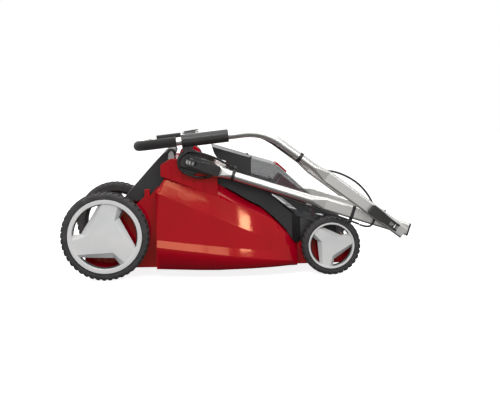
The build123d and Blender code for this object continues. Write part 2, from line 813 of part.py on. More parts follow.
def make_lever(name, hand, place, slope, out):
    run = math.radians(slope)
    flat = Plane(spot(place[0], hand * out, place[1]), x_dir=(math.cos(run), 0, math.sin(run)),
                 z_dir=(0, -hand, 0))
    with BuildPart() as cam_lever:
        with BuildSketch(lever_plane(hand, place, slope, out)):
            Circle(cam_r)
            Polygon((0, -9), (26, -7), (84, -4), (87, 0), (84, 5), (30, 9.5), (0, 10), align=None)
        extrude(amount=16, both=True)
        with BuildSketch(flat):
            Polygon((-14, -11), (-14, 11), (22, 11), (50, 14), (80, 15), (86, 12), (88, 4), (88, -4),
                    (86, -12), (80, -15), (50, -14), (22, -11), align=None)
        extrude(amount=30, both=True, mode=Mode.INTERSECT)
        with BuildSketch(lever_plane(hand, place, slope, out)):
            Rectangle(38, 30)
        extrude(amount=5.4, both=True, mode=Mode.SUBTRACT)
        with BuildSketch(lever_plane(hand, place, slope, out)):
            Circle(barrel_r + bolt_slip)
        extrude(amount=20, both=True, mode=Mode.SUBTRACT)
    save(cam_lever.part, name)


for hand, hand_name in ((1, "right"), (-1, "left")):
    make_lever(f"pivot_lever_{hand_name}", hand, pivot, lower_slope, lower_pin_out)
    make_lever(f"hinge_lever_{hand_name}", hand, hinge, upper_slope, upper_pin_out)


def make_bolts(name, place, slope, nut_out, face_out, pin_out):
    with BuildPart() as bolts:
        for hand in (1, -1):
            with BuildSketch(side(hand * nut_out)):
                with Locations(place):
                    Circle(bolt_r)
            extrude(amount=hand * (pin_out - nut_out))
            with BuildSketch(side(hand * nut_out)):
                with Locations(place):
                    RegularPolygon(8, 6)
            extrude(amount=hand * 5.6)
            with BuildSketch(side(hand * face_out)):
                with Locations(place):
                    Circle(12)
            extrude(amount=hand * washer)
            with BuildSketch(lever_plane(hand, place, slope, pin_out)):
                Circle(barrel_r)
            extrude(amount=10.6, both=True)
    save(bolts.part, name)


make_bolts("pivot_bolts", pivot, lower_slope, tower_in - 6, lower_face, lower_pin_out)
make_bolts("hinge_bolts", hinge, upper_slope, lower_out - 12.1, upper_face, upper_pin_out)

with BuildPart() as lock_discs:
    for hand in (1, -1):
        with BuildSketch(side(hand * tower_out)):
            with Locations(pivot):
                Circle(disc_r)
                Circle(bolt_r + bolt_slip, mode=Mode.SUBTRACT)
        extrude(amount=hand * disc_thick)
save(lock_discs.part, "lock_discs")

with BuildPart() as hinge_spacers:
    for hand in (1, -1):
        with BuildSketch(side(hand * (lower_face + 0.3))):
            with Locations(hinge):
                Circle(17)
                Circle(bolt_r, mode=Mode.SUBTRACT)
        extrude(amount=hand * (upper_out - lower_out - flat_thick - 0.3))
save(hinge_spacers.part, "hinge_spacers")

# ---------------------------------------------------------------- rear flap

flap_pin = (187.0, 353.0)
flap_rod_r = 4.0
support_out = 171.0
catcher_pin_r = 5.0
with BuildPart() as flap_rod:
    with BuildSketch(side(-support_out)):
        with Locations(flap_pin):
            Circle(flap_rod_r)
    extrude(amount=2 * support_out)
    # the pins that a grass catcher hooks on
    for hand in (1, -1):
        add(cylinder_out(hand, flap_pin, support_out, 8, catcher_pin_r))
        with BuildSketch(side(hand * (support_out - 6))):
            Polygon((178, 336), (196, 336), (194, 353), (187, 360), (180, 353), align=None)
        extrude(amount=hand * 6)
save(flap_rod.part, "flap_rod")

with BuildPart() as rear_flap:
    with BuildSketch(side(0)):
        Polygon((184, 342), (182, 364), (165, 352), (126, 311), (50, 226), (58, 219), (62, 222), (130, 300),
                (170, 341), align=None)
    extrude(amount=lid_out, both=True)
    with BuildSketch(side(-lid_out)):
        with Locations(flap_pin):
            Circle(13)
    extrude(amount=2 * lid_out)
    for hand in (1, -1):
        with BuildSketch(side(hand * lid_out)):
            Polygon((174, 344), (126, 309), (54, 225), (86, 216), (146, 236), (168, 290), (184, 342), align=None)
        extrude(amount=-hand * 4)
    with BuildSketch(side(-200)):
        with Locations(flap_pin):
            Circle(flap_rod_r + bolt_slip)
    extrude(amount=400, mode=Mode.SUBTRACT)
    for hand in (1, -1):
        with BuildSketch(side(hand * 100)):
            with Locations(flap_pin):
                Circle(14)
        extrude(amount=hand * 26, mode=Mode.SUBTRACT)
save(rear_flap.part, "rear_flap")
print("flap", len(rear_flap.part.solids()))

with BuildPart() as flap_springs:
    for hand in (1, -1):
        with BuildSketch(side(hand * 102)):
            with Locations(flap_pin):
                Circle(8.5)
                Circle(flap_rod_r + 1.2, mode=Mode.SUBTRACT)
        extrude(amount=hand * 22)
save(flap_springs.part, "flap_springs")

# ---------------------------------------------------------------- cable and its clips

def cord_radii(points):
    radii = []
    for before, at, after in zip(points, points[1:], points[2:]):
        run_in = Vector(*at) - Vector(*before)
        run_out = Vector(*after) - Vector(*at)
        turn = math.radians(run_in.get_angle(run_out))
        radii.append(0.45 * min(run_in.length, run_out.length) / math.tan(turn / 2))
    return radii


def make_cable(name, route):
    points = [spot(*place) for place in route]
    radii = cord_radii(points)
    direction = Vector(*points[1]) - Vector(*points[0])
    with BuildPart() as cable:
        with BuildLine() as line:
            FilletPolyline(*points, radius=radii)
        with BuildSketch(Plane(points[0], z_dir=direction)):
            Circle(cable_r)
        sweep(path=line.wire())
    save(cable.part, name)
    expected = math.pi * cable_r ** 2 * line.wire().length
    print(name, "radii", [round(r) for r in radii], "volume ratio", round(cable.part.volume / expected, 3),
          "length", round(line.wire().length))


cable_upper_route = ((345, 221, 400), (374, 220.5, 400.5), (410, 219, 402), (440, 218.5, 398), (470, 219, 381),
                     (497, 219.5, 363), (524, 220, 344), (556, 220.5, 324))
cable_loop_route = ((557, 220.5, 323.4), (586, 220.7, 309), (616, 221.5, 302), (647, 222, 299),
                    (680, 222, 286), (712, 222, 266), (738, 222, 238), (756, 222, 206), (762, 222, 175),
                    (757, 221.5, 150), (742, 217, 138), (719, 209.5, 146))
cable_lower_route = ((718, 208.5, 147.4), (672, 208.5, 166), (630, 209, 180), (580, 209.5, 199),
                     (530, 208, 217), (485, 204, 234), (450, 194, 247), (425, 188, 262), (403, 187, 281),
                     (384, 192, 295), (366, 200, 309), (352, 206.5, 318.5))
cable_pivot_route = ((351, 207, 319.2), (327, 215, 333), (300, 219.5, 346), (272, 221, 355),
                     (246, 220.5, 360), (222, 219.5, 353), (208, 219, 336), (209, 218.5, 315),
                     (224, 218, 299), (246, 216, 290), (268, 211, 286), (287, 203.8, 286), (301, 195, 288))
make_cable("cable_upper", cable_upper_route)
make_cable("cable_hinge_loop", cable_loop_route)
make_cable("cable_lower", cable_lower_route)
make_cable("cable_pivot_loop", cable_pivot_route)

# a band round a tube, with an eye that holds the cable beside it
clip_wide = 9.0
eye_r = 5.6


def clip_ring(start, slope, along, out, inner, outer, eye):
    with BuildPart() as clip:
        with BuildSketch(tube_cut(start, slope, along - clip_wide / 2, out)):
            RectangleRounded(*outer)
            bar((0, 0), eye, 6)
            with Locations(eye):
                Circle(eye_r)
                Circle(cable_r + 0.1, mode=Mode.SUBTRACT)
            RectangleRounded(*inner, mode=Mode.SUBTRACT)
        extrude(amount=clip_wide)
    return clip.part


def round_band(diameter):
    bore = diameter + 0.06
    return (bore, bore, bore / 2 - 0.1), (bore + 4.4, bore + 4.4, bore / 2 + 2)


flat_band = ((flat_thick + 0.06, flat_wide + 0.06, flat_thick / 2 - 0.1),
             (flat_thick + 4.4, flat_wide + 4.4, flat_thick / 2 + 2))
upper_clip = clip_ring(hinge, upper_slope, 328.8, upper_out, *round_band(upper_round), (15.6, 9.6))
lower_clip = clip_ring(pivot, lower_slope, 126, lower_out, *round_band(lower_round), (6.2, 21))
claw_clip = clip_ring(pivot, lower_slope, 482, lower_out, *flat_band, (0, -25.1))

with BuildPart() as cable_clip_upper:
    add(upper_clip)
save(cable_clip_upper.part, "cable_clip_upper")

with BuildPart() as cable_clips_lower:
    add(lower_clip)
    add(claw_clip)
save(cable_clips_lower.part, "cable_clips_lower")
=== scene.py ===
import json
import math
import bmesh
import bpy
from mathutils import Matrix, Vector


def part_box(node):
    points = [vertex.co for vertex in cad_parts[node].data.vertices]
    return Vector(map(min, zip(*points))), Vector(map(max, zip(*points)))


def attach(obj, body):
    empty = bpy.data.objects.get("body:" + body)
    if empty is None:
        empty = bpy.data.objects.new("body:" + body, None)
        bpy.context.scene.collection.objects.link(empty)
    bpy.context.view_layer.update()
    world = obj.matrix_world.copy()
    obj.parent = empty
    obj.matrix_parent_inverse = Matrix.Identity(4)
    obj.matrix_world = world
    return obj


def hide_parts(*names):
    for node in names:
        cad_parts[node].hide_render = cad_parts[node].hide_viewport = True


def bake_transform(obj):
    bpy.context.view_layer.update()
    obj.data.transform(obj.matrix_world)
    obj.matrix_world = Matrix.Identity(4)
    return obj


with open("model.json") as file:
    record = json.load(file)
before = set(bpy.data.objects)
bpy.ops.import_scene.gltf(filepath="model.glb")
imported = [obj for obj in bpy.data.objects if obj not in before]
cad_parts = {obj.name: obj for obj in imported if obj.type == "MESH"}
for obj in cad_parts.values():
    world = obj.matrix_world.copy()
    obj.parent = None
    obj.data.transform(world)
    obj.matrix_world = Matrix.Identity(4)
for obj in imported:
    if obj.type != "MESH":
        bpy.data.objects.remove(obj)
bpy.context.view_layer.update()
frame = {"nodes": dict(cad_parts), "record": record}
nodes = frame["nodes"]
bodyOfNode = {node: body for body, members in frame["record"]["behaviour"]["bodies"].items()
              for node in members}
slotOfNode = {part["node"]: part["material_slot"] for part in frame["record"]["subparts"]}

mm = 0.001
rearLow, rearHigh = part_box("rear_right_tyre")
rearAxleX = (rearLow.x + rearHigh.x) / 2


def spot(x, out, z):  # millimetres forwards of the rear axle, out to the right, and up
    return Vector((rearAxleX + x * mm, -out * mm, z * mm))


def linear(code):  # an sRGB hex colour as the shader wants it
    parts = [int(code[at:at + 2], 16) / 255 for at in (1, 3, 5)]
    return tuple(c / 12.92 if c <= 0.04045 else ((c + 0.055) / 1.055) ** 2.4 for c in parts) + (1.0,)


# one shader node with its settings and the sockets that feed it, in a material or in the world
def addNode(owner, kind, settings=None, links=None):
    node = owner.node_tree.nodes.new(kind)
    for key, value in (settings or {}).items():
        node.inputs[key].default_value = value
    for key, socket in (links or {}).items():
        owner.node_tree.links.new(socket, node.inputs[key])
    return node


# the camera stands to the right, a little above the folded handle, and looks slightly down
camera = {"lens": 78.7, "place": (262.4, 3280.1, 482.7), "turn": 0.04746, "down": 0.08509, "roll": -0.00971}


def addCamera():
    lens = bpy.data.cameras.new("studioCamera")
    lens.lens = camera["lens"]
    lens.sensor_width = 36
    lens.clip_end = 60
    holder = bpy.data.objects.new("studioCamera", lens)
    bpy.context.scene.collection.objects.link(holder)
    holder.matrix_world = (Matrix.Translation(spot(*camera["place"]))
                           @ Matrix.Rotation(-camera["turn"], 4, "Z")
                           @ Matrix.Rotation(math.pi / 2 - camera["down"], 4, "X")
                           @ Matrix.Rotation(camera["roll"], 4, "Z"))
    bpy.context.scene.camera = holder


softboxes = {  # where each lamp stands, what it looks at, its width and height in metres, and its power
    "topBox": ((300, 200, 2400), (300, 0, 200), 3.0, 2.4, 40),
    "leftBox": ((-420, 2700, 1850), (200, 200, 200), 1.2, 1.6, 30),
    "highFacetBox": ((680, 2700, 2620), (225, 200, 250), 0.6, 0.7, 6),
    "lowFacetBox": ((400, 2700, 1255), (225, 200, 250), 0.45, 0.45, 3),
    "highSquareBox": ((1886, 2700, 1740), (382, 200, 155), 0.26, 0.26, 6),
    "lowSquareBox": ((1211, 2700, 1387), (400, 200, 73), 0.27, 0.34, 6),
    "backBox": ((500, -2600, 1700), (300, 0, 200), 2.2, 1.4, 20),
}


def addLamps():
    for name, (place, target, width, height, power) in softboxes.items():
        lamp = bpy.data.lights.new(name, "AREA")
        lamp.shape = "RECTANGLE"
        lamp.size = width
        lamp.size_y = height
        lamp.energy = power
        holder = bpy.data.objects.new(name, lamp)
        bpy.context.scene.collection.objects.link(holder)
        aim = spot(*target) - spot(*place)
        turned = aim.to_track_quat("-Z", "Y").to_matrix().to_4x4()
        holder.matrix_world = Matrix.Translation(spot(*place)) @ turned


# plain white behind, and a glow that brightens from low to high for what the mower reflects
sky = {"From Min": -0.5, "From Max": 0.15, "To Min": 0.15, "To Max": 0.84}


def addSky():
    world = bpy.data.worlds.new("paleStudio")
    world.use_nodes = True
    behind = world.node_tree.nodes["Background"]
    behind.inputs["Color"].default_value = linear("#FFFFFF")
    coords = addNode(world, "ShaderNodeTexCoord")
    split = addNode(world, "ShaderNodeSeparateXYZ", links={"Vector": coords.outputs["Generated"]})
    ramp = addNode(world, "ShaderNodeMapRange", sky, {"Value": split.outputs["Z"]})
    glow = addNode(world, "ShaderNodeBackground", links={"Strength": ramp.outputs["Result"]})
    path = addNode(world, "ShaderNodeLightPath")
    mix = addNode(world, "ShaderNodeMixShader", links={
        "Fac": path.outputs["Is Camera Ray"], 1: glow.outputs["Background"], 2: behind.outputs["Background"]})
    world.node_tree.links.new(mix.outputs["Shader"], world.node_tree.nodes["World Output"].inputs["Surface"])
    bpy.context.scene.world = world
    bpy.context.scene.view_settings.view_transform = "Standard"


addCamera()
addLamps()
addSky()
print("camera and lights are set")


def newMaterial(name, shader):
    material = bpy.data.materials.new(name)
    material.use_nodes = True
    surface = material.node_tree.nodes["Principled BSDF"]
    for key, value in shader.items():
        surface.inputs[key].default_value = linear(value) if isinstance(value, str) else value
    return material, surface, addNode(material, "ShaderNodeTexCoord").outputs["Object"]


drifting = {"patchDetail": 4.0, "darkUpTo": 0.3, "lightFrom": 0.7, "smearDetail": 6.0, "swirl": 0.6,
            "grainDetail": 3.0}


# a colour that drifts between two shades, a roughness that drifts, and a fine bump
def drift(material, surface, coords, recipe):
    patch = addNode(material, "ShaderNodeTexNoise",
                    {"Scale": 1 / (recipe["patch"] * mm), "Detail": drifting["patchDetail"]},
                    {"Vector": coords})
    shade = addNode(material, "ShaderNodeValToRGB", links={"Fac": patch.outputs["Fac"]})
    shade.color_ramp.elements[0].position = drifting["darkUpTo"]
    shade.color_ramp.elements[1].position = drifting["lightFrom"]
    shade.color_ramp.elements[0].color = linear(recipe["dark"])
    shade.color_ramp.elements[1].color = linear(recipe["light"])
    smear = addNode(material, "ShaderNodeTexNoise",
                    {"Scale": 1 / (recipe["smear"] * mm), "Detail": drifting["smearDetail"],
                     "Distortion": drifting["swirl"]}, {"Vector": coords})
    polish = addNode(material, "ShaderNodeMapRange",
                     {"To Min": recipe["rough"][0], "To Max": recipe["rough"][1]},
                     {"Value": smear.outputs["Fac"]})
    grain = addNode(material, "ShaderNodeTexNoise",
                    {"Scale": 1 / (recipe["grain"] * mm), "Detail": drifting["grainDetail"]},
                    {"Vector": coords})
    bump = addNode(material, "ShaderNodeBump",
                   {"Strength": recipe["depth"], "Distance": recipe["grain"] * mm},
                   {"Height": grain.outputs["Fac"]})
    links = material.node_tree.links
    links.new(shade.outputs["Color"], surface.inputs["Base Color"])
    links.new(polish.outputs["Result"], surface.inputs["Roughness"])
    links.new(bump.outputs["Normal"], surface.inputs["Normal"])


plastics = {  # injection mouldings: patch, smear and grain are sizes in millimetres
    # polished mould, so a hard gloss with a slow orange peel, and warm reflections off the red pigment
    "glossRedAbs": {"patch": 90, "dark": "#9C001A", "light": "#A6001D", "smear": 30, "rough": (0.06, 0.13),
                    "grain": 9, "depth": 0.012, "shader": {"IOR": 1.53, "Specular Tint": "#FFBC8B"}},
    # spark-eroded mould, so an even fine grain and a soft sheen; drawn at 1 mm, coarser than the real 0.3 mm
    "grainedBlackPolypropylene": {"patch": 60, "dark": "#1D1B1B", "light": "#272525", "smear": 14,
                                  "rough": (0.38, 0.52), "grain": 1, "depth": 0.16, "shader": {"IOR": 1.49}},
    # levers, discs and housings from a finer mould than the covers
    "smoothBlackNylon": {"patch": 40, "dark": "#211F1F", "light": "#2C2A29", "smear": 10,
                         "rough": (0.26, 0.40), "grain": 1.2, "depth": 0.07, "shader": {"IOR": 1.53}},
    "satinGreyPolypropylene": {"patch": 70, "dark": "#C9CACA", "light": "#D6D4D3", "smear": 16,
                               "rough": (0.34, 0.46), "grain": 1.1, "depth": 0.06, "shader": {"IOR": 1.49}},
    "darkWheelPolypropylene": {"patch": 40, "dark": "#242323", "light": "#302E2E", "smear": 12,
                               "rough": (0.45, 0.6), "grain": 1.2, "depth": 0.12, "shader": {"IOR": 1.49}},
    # the battery packs' own shell, duller than the deck's
    "satinRedAbs": {"patch": 50, "dark": "#8E0A18", "light": "#A3101F", "smear": 12, "rough": (0.32, 0.44),
                    "grain": 1, "depth": 0.08, "shader": {"IOR": 1.53}},
    # tread compound: carbon black with a bloom of dust, so a dry grey-black
    "mouldedTyreRubber": {"patch": 26, "dark": "#262425", "light": "#3B3839", "smear": 6,
                          "rough": (0.58, 0.78), "grain": 1.4, "depth": 0.22, "shader": {"IOR": 1.52}},
    "extrudedCablePvc": {"patch": 30, "dark": "#151414", "light": "#1F1E1E", "smear": 8,
                         "rough": (0.32, 0.46), "grain": 1, "depth": 0.05, "shader": {"IOR": 1.53}},
    # black powder coat: rounded pits about 1 mm apart
    "blackPowderCoatedSteel": {"patch": 40, "dark": "#171717", "light": "#222222", "smear": 9,
                               "rough": (0.3, 0.42), "grain": 1, "depth": 0.2, "shader": {"IOR": 1.5}},
}


def makeMoulded(name):
    material, surface, coords = newMaterial(name, plastics[name]["shader"])
    drift(material, surface, coords, plastics[name])
    return material


# dark is painted shade at the bottom of each pit, light is the foam between the pits
foam = {"dark": "#161414", "light": "#211F1E", "cell": 1.1, "pit": 0.4, "strength": 0.35,
        "shader": {"Roughness": 0.92, "IOR": 1.45, "Sheen Weight": 0.25, "Sheen Roughness": 0.5}}


def makeFoam():  # closed-cell EVA foam: a skin of tiny open bubbles, no gloss
    material, surface, coords = newMaterial("closedCellGripFoam", foam["shader"])
    cells = addNode(material, "ShaderNodeTexVoronoi", {"Scale": 1 / (foam["cell"] * mm)}, {"Vector": coords})
    # the colour darkens towards each cell's middle, where the bump sinks a pit: painted shade in the pits
    shade = addNode(material, "ShaderNodeValToRGB", links={"Fac": cells.outputs["Distance"]})
    shade.color_ramp.elements[0].color = linear(foam["dark"])
    shade.color_ramp.elements[1].color = linear(foam["light"])
    bump = addNode(material, "ShaderNodeBump", {"Strength": foam["strength"], "Distance": foam["pit"] * mm},
                   {"Height": cells.outputs["Distance"]})
    material.node_tree.links.new(shade.outputs["Color"], surface.inputs["Base Color"])
    material.node_tree.links.new(bump.outputs["Normal"], surface.inputs["Normal"])
    return material


metals = {  # along: how much a pattern is drawn out lengthways, 1 for not at all
    # drawn tube, etched and anodised: pale, with faint die lines along it
    "anodisedDrawnAluminium": {"patch": 160, "dark": "#D6D5D2", "light": "#E6E5E2", "smear": 3,
                               "rough": (0.30, 0.42), "grain": 1.2, "depth": 0.05, "along": 0.04},
    # cold-formed steel with bright zinc, slightly cloudy
    "zincPlatedSteel": {"patch": 6, "dark": "#A9AAA8", "light": "#C6C7C5", "smear": 4, "rough": (0.26, 0.42),
                        "grain": 0.8, "depth": 0.07, "along": 1},
    # ground blade and hard-drawn spring wire
    "oiledSpringSteel": {"patch": 12, "dark": "#6F7072", "light": "#8B8C8E", "smear": 3, "rough": (0.24, 0.4),
                         "grain": 0.7, "depth": 0.1, "along": 1},
}


def makeMetal(name):
    recipe = metals[name]
    material, surface, coords = newMaterial(name, {"Metallic": 1.0})
    drawn = addNode(material, "ShaderNodeMapping", {"Scale": (recipe["along"], 1, 1)}, {"Vector": coords})
    drift(material, surface, drawn.outputs["Vector"], recipe)
    return material


smoked = {"alpha": (0.40, 0.82), "blend": 0.35, "wave": 60, "swell": 20, "strength": 0.02,
          "shader": {"Base Color": "#4A4C50", "Roughness": 0.06, "IOR": 1.58, "Coat Weight": 0.4,
                     "Coat Roughness": 0.03}}


def makeSmoked():  # moulded smoked polycarbonate: see-through face on, denser at a glancing angle
    material, surface, coords = newMaterial("smokedPolycarbonate", smoked["shader"])
    facing = addNode(material, "ShaderNodeLayerWeight", {"Blend": smoked["blend"]})
    dense = addNode(material, "ShaderNodeMapRange",
                    {"To Min": smoked["alpha"][0], "To Max": smoked["alpha"][1]},
                    {"Value": facing.outputs["Facing"]})
    wave = addNode(material, "ShaderNodeTexNoise", {"Scale": 1 / (smoked["wave"] * mm)}, {"Vector": coords})
    bump = addNode(material, "ShaderNodeBump",
                   {"Strength": smoked["strength"], "Distance": smoked["swell"] * mm},
                   {"Height": wave.outputs["Fac"]})
    material.node_tree.links.new(dense.outputs["Result"], surface.inputs["Alpha"])
    material.node_tree.links.new(bump.outputs["Normal"], surface.inputs["Normal"])
    return material


finish = {name: makeMoulded(name) for name in plastics}
finish.update({name: makeMetal(name) for name in metals})
finish["closedCellGripFoam"] = makeFoam()
finish["smokedPolycarbonate"] = makeSmoked()

finishOfSlot = {
    "red_abs": "glossRedAbs", "black_plastic": "grainedBlackPolypropylene",
    "grey_plastic": "satinGreyPolypropylene", "dark_grey_plastic": "darkWheelPolypropylene",
    "smoked_lid": "smokedPolycarbonate", "tyre_rubber": "mouldedTyreRubber", "foam": "closedCellGripFoam",
    "anodised": "anodisedDrawnAluminium", "zinc_steel": "zincPlatedSteel",
    "painted_steel": "blackPowderCoatedSteel", "cable_pvc": "extrudedCablePvc",
}
nylonNodes = ("lock_discs", "switch_housing", "bail_bearing", "height_knob")
finishOfNode = {node: finishOfSlot[slot] for node, slot in slotOfNode.items()}
finishOfNode.update({node: "smoothBlackNylon" for node in nodes if "lever_" in node or node in nylonNodes})
finishOfNode.update(blade="oiledSpringSteel", battery_right="satinRedAbs", battery_left="satinRedAbs",
                    height_lever="zincPlatedSteel")


def paint(piece, name):
    piece.data.materials.clear()
    piece.data.materials.append(finish[name])


for node, piece in nodes.items():
    paint(piece, finishOfNode[node])

paper = {"halfSize": 14, "fibre": 4, "depth": 1, "strength": 0.02,
         "shader": {"Roughness": 0.9, "Base Color": "#C8C8C8", "Emission Color": "#FFFFFF",
                    "Emission Strength": 0.86}}


def makeFloor():
    material, surface, coords = newMaterial("paleStudioPaper", paper["shader"])
    fibre = addNode(material, "ShaderNodeTexNoise", {"Scale": 1 / (paper["fibre"] * mm)}, {"Vector": coords})
    bump = addNode(material, "ShaderNodeBump",
                   {"Strength": paper["strength"], "Distance": paper["depth"] * mm},
                   {"Height": fibre.outputs["Fac"]})
    material.node_tree.links.new(bump.outputs["Normal"], surface.inputs["Normal"])
    shape = bmesh.new()
    bmesh.ops.create_grid(shape, x_segments=2, y_segments=2, size=paper["halfSize"])
    mesh = bpy.data.meshes.new("paleFloor")
    shape.to_mesh(mesh)
    shape.free()
    floor = bpy.data.objects.new("paleFloor", mesh)
    bpy.context.scene.collection.objects.link(floor)
    mesh.materials.append(material)
    floor.visible_diffuse = False  # the paper throws no light up onto the mower
    floor.visible_glossy = False


makeFloor()
print("materials are made")

finishing = {"sharp": math.radians(32), "merge": 0.01, "flat": math.radians(0.4), "segments": 2}


# how every new piece is finished: closed, faces outwards, edges rounded, on its body
def addPiece(name, shape, body, finishName, replaced=(), edge=0.0, merge=True):
    if merge:
        bmesh.ops.remove_doubles(shape, verts=shape.verts, dist=finishing["merge"] * mm)
        bmesh.ops.recalc_face_normals(shape, faces=shape.faces)
    mesh = bpy.data.meshes.new(name)
    shape.to_mesh(mesh)
    shape.free()
    mesh.shade_smooth()
    mesh.set_sharp_from_angle(angle=finishing["sharp"])
    piece = bpy.data.objects.new(name, mesh)
    bpy.context.scene.collection.objects.link(piece)
    paint(piece, finishName)
    if edge:
        rounding = piece.modifiers.new("roundedEdges", "BEVEL")
        rounding.width = edge * mm
        rounding.segments = finishing["segments"]
        rounding.limit_method = "ANGLE"
        rounding.angle_limit = finishing["sharp"]
        rounding.harden_normals = True
    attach(piece, body)
    if replaced:
        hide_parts(*replaced)
    return piece


def camel(node):
    first, *rest = node.split("_")
    return first + "".join(word.capitalize() for word in rest)


# a CAD part's own shape with the moulded edge rounds that catch the light
def soften(node, edge):
    shape = bmesh.new()
    shape.from_mesh(nodes[node].data)
    bmesh.ops.remove_doubles(shape, verts=shape.verts, dist=finishing["merge"] / 2 * mm)
    bmesh.ops.dissolve_limit(shape, angle_limit=finishing["flat"], verts=shape.verts, edges=shape.edges)
    addPiece(camel(node), shape, bodyOfNode[node], finishOfNode[node], [node], edge,
             merge=False)


edgeRounds = {  # millimetres
    "motor_cover": 1.6, "battery_hood": 1.2, "lid": 0.8, "lid_catch": 0.8, "front_latch": 1.0,
    "battery_right": 1.5, "battery_left": 1.5, "battery_tray": 0.8, "safety_key": 0.8, "lock_discs": 1.0,
    "hinge_spacers": 0.8, "lower_end_caps": 1.2, "switch_housing": 1.2, "start_button": 0.4,
    "bail_bearing": 1.0, "rear_flap": 1.0, "rear_axle": 0.8, "front_axle": 0.8, "height_lever": 0.6,
    "pivot_bolts": 0.5, "hinge_bolts": 0.5, "blade": 0.5, "cable_clip_upper": 0.5, "cable_clips_lower": 0.5,
}
for hand in ("right", "left"):
    edgeRounds[f"pivot_lever_{hand}"] = 1.5
    edgeRounds[f"hinge_lever_{hand}"] = 1.5
for corner in ("rear_right", "rear_left", "front_right", "front_left"):
    edgeRounds[f"{corner}_wheel_cover"] = 1.2
for node, edge in edgeRounds.items():
    soften(node, edge)
print("softened", len(edgeRounds), "mouldings")


# an outline in the mower's side view, given its thickness from one place to another across the mower
def addPlate(shape, outline, fromOut, toOut):
    corners = [shape.verts.new(spot(x, fromOut, z)) for x, z in outline]
    face = shape.faces.new(corners)
    grown = bmesh.ops.extrude_face_region(shape, geom=[face])
    moved = [item for item in grown["geom"] if isinstance(item, bmesh.types.BMVert)]
    bmesh.ops.translate(shape, verts=moved, vec=spot(0, toOut, 0) - spot(0, fromOut, 0))


def addDisc(shape, x, z, radius, fromOut, toOut, sides):
    lying = Matrix.Translation(spot(x, (fromOut + toOut) / 2, z)) @ Matrix.Rotation(math.pi / 2, 4, "X")
    bmesh.ops.create_cone(shape, cap_ends=True, segments=sides, radius1=radius * mm, radius2=radius * mm,
                          depth=abs(toOut - fromOut) * mm, matrix=lying)


# a round bar pushed through a row of places, its radius given at each
def addRod(shape, places, radii, sides):
    stops = []
    side = None
    for number, place in enumerate(places):
        before = places[max(number - 1, 0)]
        after = places[min(number + 1, len(places) - 1)]
        ahead = (after - before).normalized()
        side = ahead.orthogonal() if side is None else side - ahead * side.dot(ahead)
        side.normalize()
        turned = Matrix((side, ahead.cross(side), ahead)).transposed().to_4x4()
        stops.append(Matrix.Translation(place) @ turned)
    start = bmesh.ops.create_circle(shape, cap_ends=True, segments=sides, radius=radii[0], matrix=stops[0])
    cap = start["verts"][0].link_faces[0]
    for number in range(1, len(places)):
        grown = bmesh.ops.extrude_face_region(shape, geom=[cap])["geom"]
        ring = [item for item in grown if isinstance(item, bmesh.types.BMVert)]
        cap = next(item for item in grown if isinstance(item, bmesh.types.BMFace))
        swell = radii[number] / radii[number - 1]
        moved = stops[number] @ Matrix.Diagonal((swell, swell, 1, 1)) @ stops[number - 1].inverted()
        bmesh.ops.transform(shape, matrix=moved, verts=ring)


# tyres: a moulded ring with raised blocks on both shoulders
tyre = {
    "corner": 7, "tread": 3.4, "steps": 96, "crown": 0.6, "rows": 20, "rimInset": 2.2,
    "flatTo": 0.45, "roundTo": 0.8, "roundSpan": 0.35, "wallSpan": 0.2,
    "blockFrom": 0.1, "blockSpan": 0.62, "blockCuts": 7, "blockWide": 6.6, "narrow": 0.75, "flare": 0.4,
    "lean": 13, "curl": 0.4, "stagger": 0.25, "sunk": 0.5, "proud": 0.1,
    "fadeFrom": 0.72, "fadeSpan": 0.28, "fade": 0.75,
}
wheels = {
    "rear": {"x": 0, "radius": 125, "out": 240, "width": 48, "rim": 106, "blocks": 44},
    "front": {"x": 641, "radius": 85, "out": 196, "width": 42, "rim": 68, "blocks": 32},
}


# how far sideways and how far from the axle the carcass is, from the tread's middle (0) to the bead (1)
def carcass(wheel, along):
    corner, crown, flatTo = tyre["corner"], tyre["crown"], tyre["flatTo"]
    half = wheel["width"] / 2
    top = wheel["radius"] - tyre["tread"]
    flat = half - corner
    if along < flatTo:
        return flat * along / flatTo, top - crown * (along / flatTo) ** 2
    if along < tyre["roundTo"]:
        turn = (along - flatTo) / tyre["roundSpan"] * math.pi / 2
        return flat + (corner - crown) * math.sin(turn), top - crown - corner * (1 - math.cos(turn))
    down = (along - tyre["roundTo"]) / tyre["wallSpan"]
    return half - crown, top - crown - corner - down * (top - crown - corner - wheel["rim"])


def makeTyre(end, hand, name):
    wheel = wheels[end]
    half = wheel["width"] / 2
    middle = wheel["out"] - half
    centre = spot(wheel["x"], 0, wheel["radius"])
    shape = bmesh.new()

    def place(sideways, radius, angle):
        turned = (radius * math.cos(angle), -hand * (middle + sideways), radius * math.sin(angle))
        return centre + Vector(turned) * mm

    outer = [carcass(wheel, step / tyre["rows"]) for step in range(tyre["rows"] + 1)]
    rims = [(half - tyre["rimInset"], wheel["rim"]), (-half + tyre["rimInset"], wheel["rim"])]
    inner = [(-sideways, radius) for sideways, radius in reversed(outer[1:])]
    ring = [shape.verts.new(place(sideways, radius, 0)) for sideways, radius in outer + rims + inner]
    edges = [shape.edges.new((ring[at], ring[(at + 1) % len(ring)])) for at in range(len(ring))]
    bmesh.ops.spin(shape, geom=ring + edges, cent=centre, axis=(0, 1, 0), dvec=(0, 0, 0), angle=math.tau,
                   steps=tyre["steps"], use_merge=True)
    for shoulder in (1, -1):
        for number in range(wheel["blocks"]):
            turn = math.tau * (number + tyre["stagger"] * (shoulder + 1)) / wheel["blocks"]
            addTreadBlock(shape, wheel, shoulder, turn, place, centre, middle)
    addPiece(camel(name), shape, bodyOfNode[name], "mouldedTyreRubber", [name])


